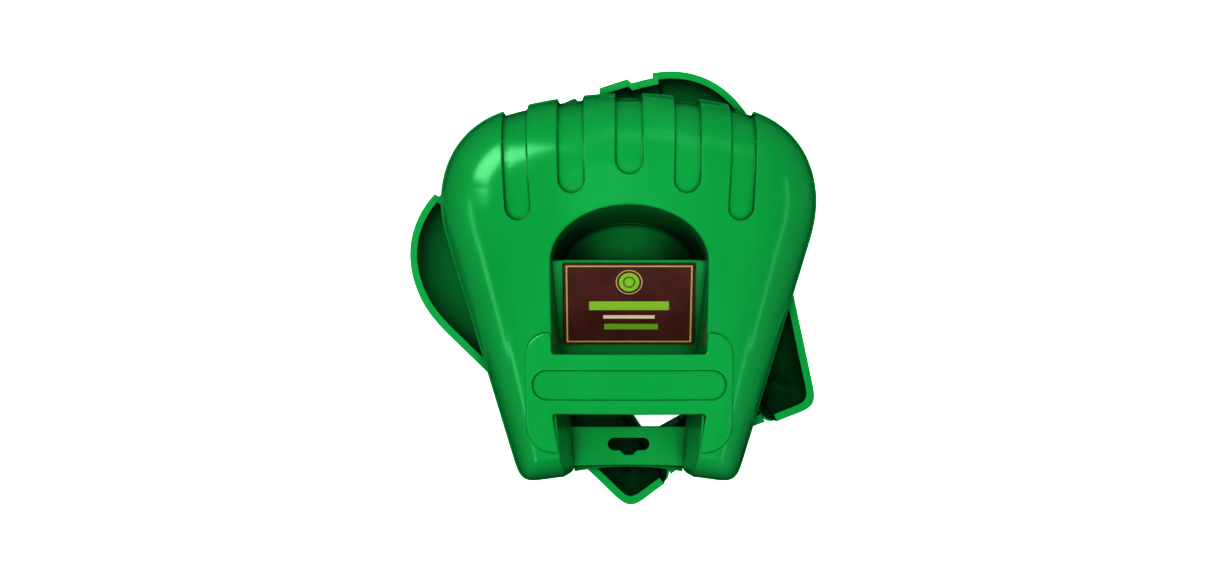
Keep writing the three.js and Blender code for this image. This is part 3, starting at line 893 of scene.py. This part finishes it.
class Print:
    """Builds the card's print as masks over its own plane, in millimetres from its middle."""

    def __init__(self, nodes, links):
        self.nodes, self.links = nodes, links
        place = nodes.new("ShaderNodeTexCoord")
        split = nodes.new("ShaderNodeSeparateXYZ")
        links.new(place.outputs["Object"], split.inputs["Vector"])
        self.x = self.maths("MULTIPLY", split.outputs["X"], 1000.0)
        self.y = self.maths("MULTIPLY", split.outputs["Y"], 1000.0)

    def maths(self, operation, first, second=0.0, third=0.0):
        node = self.nodes.new("ShaderNodeMath")
        node.operation = operation
        for socket, value in zip(node.inputs, (first, second, third)):
            if isinstance(value, float):
                socket.default_value = value
            else:
                self.links.new(value, socket)
        return node.outputs["Value"]

    def bar(self, x, y, half_width, half_height):
        """Distance out of an upright bar, below 0 inside it."""
        across = self.maths("ABSOLUTE", self.maths("SUBTRACT", self.x, x))
        along = self.maths("ABSOLUTE", self.maths("SUBTRACT", self.y, y))
        beside = self.maths("SUBTRACT", across, half_width)
        above = self.maths("SUBTRACT", along, half_height)
        return self.maths("MAXIMUM", beside, above)

    def disc(self, x, y, radius):
        across = self.maths("POWER", self.maths("SUBTRACT", self.x, x), 2.0)
        along = self.maths("POWER", self.maths("SUBTRACT", self.y, y), 2.0)
        return self.maths("SUBTRACT", self.maths("SQRT", self.maths("ADD", across, along)), radius)

    def filled(self, distance):
        return self.maths("LESS_THAN", distance, 0.0)

    def line(self, distance, width):
        return self.maths("COMPARE", distance, 0.0, width / 2)

    def paint(self, below, mask, color):
        mix = self.nodes.new("ShaderNodeMix")
        mix.data_type = "RGBA"
        self.links.new(mask, mix.inputs["Factor"])
        self.links.new(below, mix.inputs["A"])
        mix.inputs["B"].default_value = (*color, 1.0)
        return mix.outputs["Result"]


def printed_card():
    """Dark brown coated card: a gold border line, a plain ring, and plain bars where text would be."""
    material, nodes, links, shader = nodes_of("printed_card")
    mottle = noise(nodes, links, 45, 5)
    color = ramp(nodes, links, mottle, [(0.3, BROWN), (0.75, BROWN_LIGHT)])
    card = Print(nodes, links)
    border = card.bar(0.0, 0.0, CARD_WIDTH / 2 - 3.2, CARD_LENGTH / 2 - 3.2)
    color = card.paint(color, card.line(border, 1.7), GOLD)
    color = card.paint(color, card.filled(card.disc(0.0, 22.5, 9.5)), LIME)
    color = card.paint(color, card.line(card.disc(0.0, 22.5, 11.8), 1.3), GOLD)
    color = card.paint(color, card.line(card.disc(0.0, 22.5, 5.0), 1.6), LEAF_DARK)
    color = card.paint(color, card.filled(card.bar(0.0, -1.5, 37.0, 4.6)), LIME)
    color = card.paint(color, card.filled(card.bar(0.0, -13.0, 24.0, 1.9)), CREAM)
    color = card.paint(color, card.filled(card.bar(2.0, -23.0, 25.0, 3.0)), LEAF)
    links.new(color, shader.inputs["Base Color"])
    links.new(span(nodes, links, mottle, 0.3, 0.7, 0.16, 0.26), shader.inputs["Roughness"])
    return material


def floor_finish():
    """A plain pale floor that glows a little, so that it stays white."""
    material, nodes, links, shader = nodes_of("floor")
    mottle = noise(nodes, links, 3, 4)
    tone = ramp(nodes, links, mottle, [(0.3, (0.88, 0.88, 0.88)), (0.7, (0.92, 0.92, 0.92))])
    links.new(tone, shader.inputs["Base Color"])
    links.new(tone, shader.inputs["Emission Color"])
    shader.inputs["Emission Strength"].default_value = FLOOR_GLOW
    shader.inputs["Roughness"].default_value = 0.9
    return material


# ------------------------------------------------------------------ placing the pieces

TWIST = math.radians(29)
CENTRE = Vector((0.014981, 0.001368, 0.090325))      # middle of the rear scoop's rim plane
FRONT = Matrix.Translation(CENTRE + Vector((0, 0, GAP)) * METRES)
REAR = Matrix.Translation(CENTRE) @ Matrix.Rotation(TWIST, 4, "Z") @ Matrix.Rotation(math.pi, 4, "Y")


def piece(name, mesh, material, matrix, body, node):
    thing = bpy.data.objects.new(name, mesh)
    mesh.materials.clear()
    mesh.materials.append(material)
    bpy.context.collection.objects.link(thing)
    thing.matrix_world = matrix
    bpy.context.view_layer.update()
    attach(thing, body)
    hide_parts(node)


PARTS = {                                    # piece: its builder, the node it replaces, shade (painted light or shade: a factor on the piece's plastic colour for how light falls on it), gloss
    "blade": (blade, "scoop_shell", 1.0, 0.2),
    # the pocket floor's plastic is painted lighter, standing in for the light that falls into the pocket
    "pocket_floor": (pocket, "finger_pocket", 1.5, 0.3),
    "palm_plate": (palm_plate, "grip_plate", 0.9, 0.2),
    "brace": (brace, "arm_brace", 1.02, 0.2),
    "heel_tab": (heel_tab, "hanger_tab", 0.96, 0.2),
}

for part, (build, node, shade, gloss) in PARTS.items():
    mesh = build().mesh(part)
    for side, matrix in (("front", FRONT), ("rear", REAR)):
        finish = plastic(f"{side}_{part}_plastic", shade, gloss)
        own = mesh.copy()
        own.name = f"{side}_{part}"
        piece(f"{side}_{part}", own, finish, matrix, f"{side}_scoop", f"{side}_{node}")

card_y = PALM_GRIP_Y - CARD_BELOW_GRIP - CARD_LENGTH / 2 * math.cos(PALM_SLOPE)
card_place = Vector((0, card_y, palm_height(card_y))) * METRES
card_matrix = FRONT @ Matrix.Translation(card_place) @ Matrix.Rotation(PALM_SLOPE, 4, "X")
card_matrix = card_matrix @ Matrix.Translation(Vector((0, 0, GAP)) * METRES)
piece("front_card", card().mesh("card"), printed_card(), card_matrix, "card", "label_card")


# ------------------------------------------------------------------ stage, light and camera

def area_light(name, place, aim, size, power, lights):
    """A softbox that lights either the plastic's own colour or only its gloss."""
    data = bpy.data.lights.new(name, "AREA")
    data.shape = "RECTANGLE"
    data.size, data.size_y = size
    data.energy = power
    light = bpy.data.objects.new(name, data)
    bpy.context.collection.objects.link(light)
    light.location = place
    light.rotation_euler = (Vector(aim) - Vector(place)).to_track_quat("-Z", "Y").to_euler()
    light.visible_diffuse = lights == "diffuse"
    light.visible_glossy = lights == "glossy"


bpy.ops.mesh.primitive_plane_add(size=12, location=(0, 0, -0.0005))
floor = bpy.context.object
floor.name = "floor"
floor.visible_glossy = False
floor.data.materials.append(floor_finish())

for settings in LIGHTS:
    area_light(*settings)

world = bpy.data.worlds.new("studio")
bpy.context.scene.world = world
world.use_nodes = True
background = world.node_tree.nodes["Background"]
background.inputs["Color"].default_value = (1, 1, 1, 1)
background.inputs["Strength"].default_value = AMBIENT
world.cycles_visibility.glossy = False
bpy.context.scene.view_settings.view_transform = "Standard"
bpy.context.scene.view_settings.gamma = CONTRAST

# The camera looks straight down on the back of the front scoop, a little left of its middle.
CAMERA_OFFSET = Vector((-0.0134, 0.0053, 1.475))
camera_data = bpy.data.cameras.new("camera")
camera = bpy.data.objects.new("camera", camera_data)
bpy.context.collection.objects.link(camera)
camera_data.sensor_width = 36
camera_data.lens = 45
camera.location = CENTRE + CAMERA_OFFSET
bpy.context.scene.camera = camera
